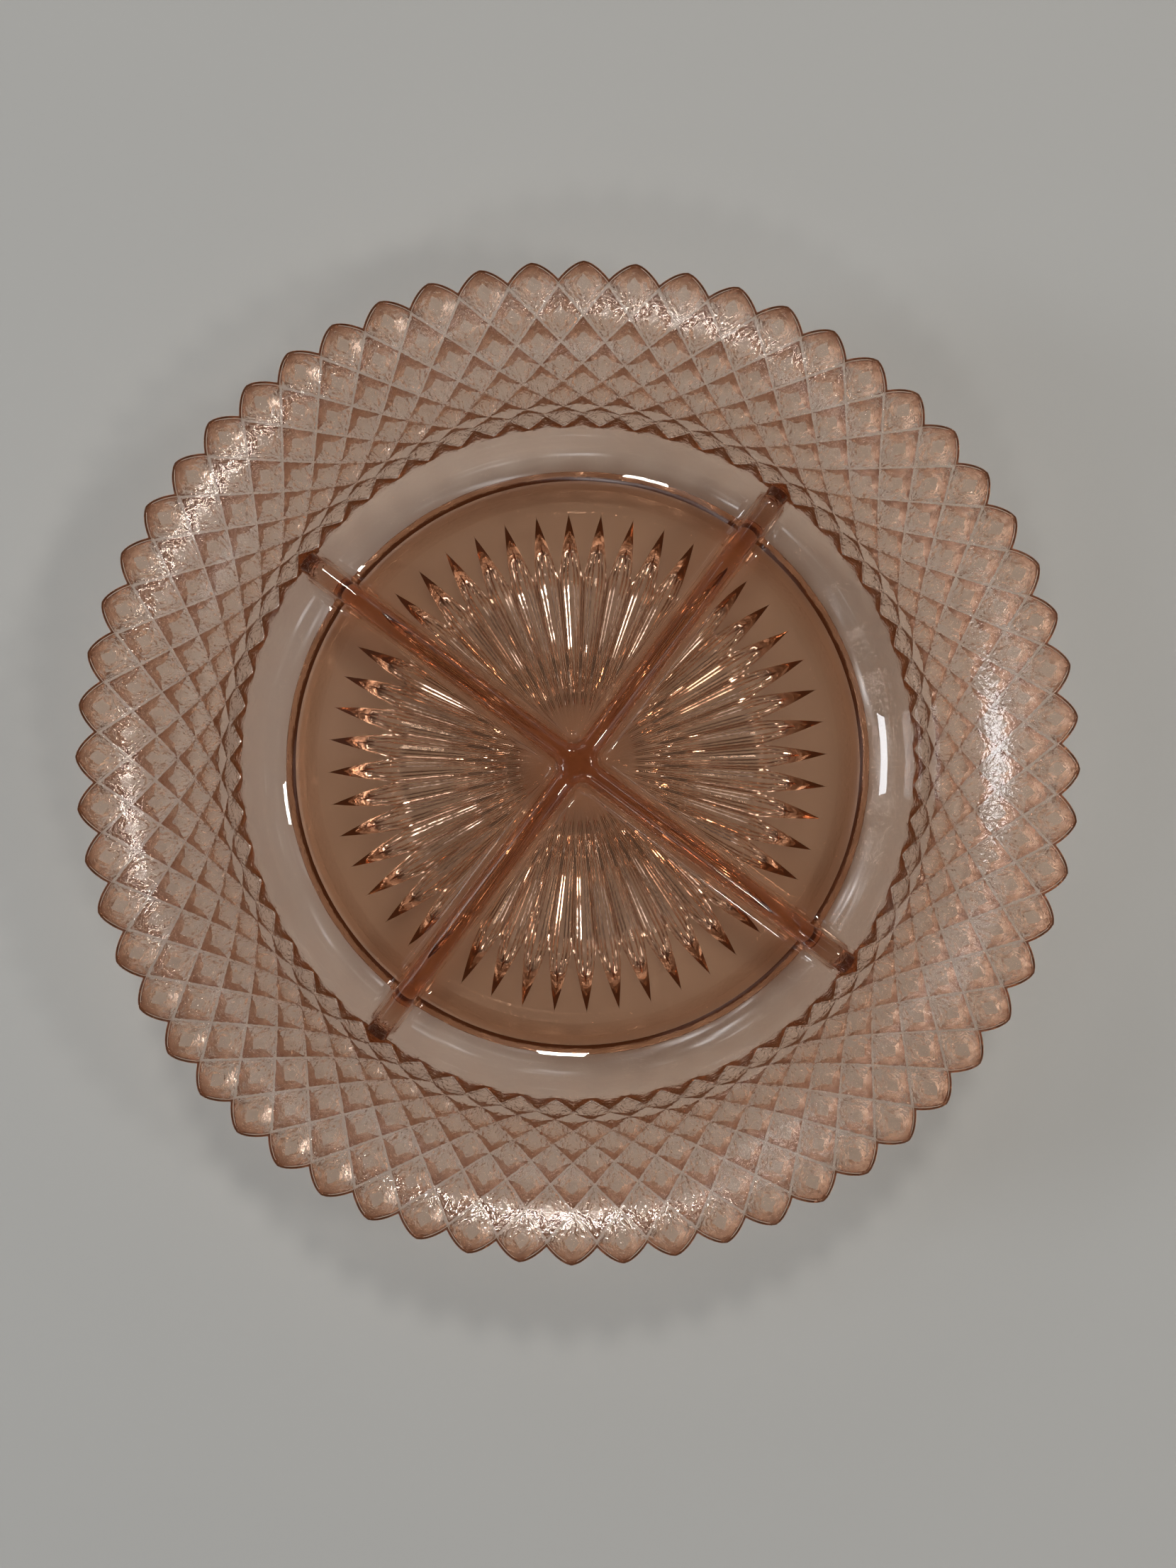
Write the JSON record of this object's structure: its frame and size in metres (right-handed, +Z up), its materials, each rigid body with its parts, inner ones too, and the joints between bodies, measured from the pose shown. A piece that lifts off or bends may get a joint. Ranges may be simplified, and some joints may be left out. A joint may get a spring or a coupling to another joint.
{
  "type": "divided relish dish",
  "caption": "Round pressed glass relish dish with a toothed diamond-pattern rim, a low foot ring and crossed dividers that make its compartments.",
  "frame": {"origin": "on the dish's axis, at the plane that the foot ring stands on", "axes": "+Z up along the dish's axis; +X along the first divider, which also lines up with a rim tooth and a panel edge"},
  "size_m": [0.2222, 0.2222, 0.0513],
  "materials": {
    "pink_glass": "clear pale pink pressed glass, smooth inside and cut-pattern outside"
  },
  "bodies": {
    "root": {"floor_disc": "pink_glass", "foot_ring": "pink_glass", "panel_wall": "pink_glass", "diamond_rim": "pink_glass", "divider_hub": "pink_glass", "divider_1": "pink_glass", "divider_2": "pink_glass", "divider_3": "pink_glass", "divider_4": "pink_glass"}
  },
  "joints": []
}
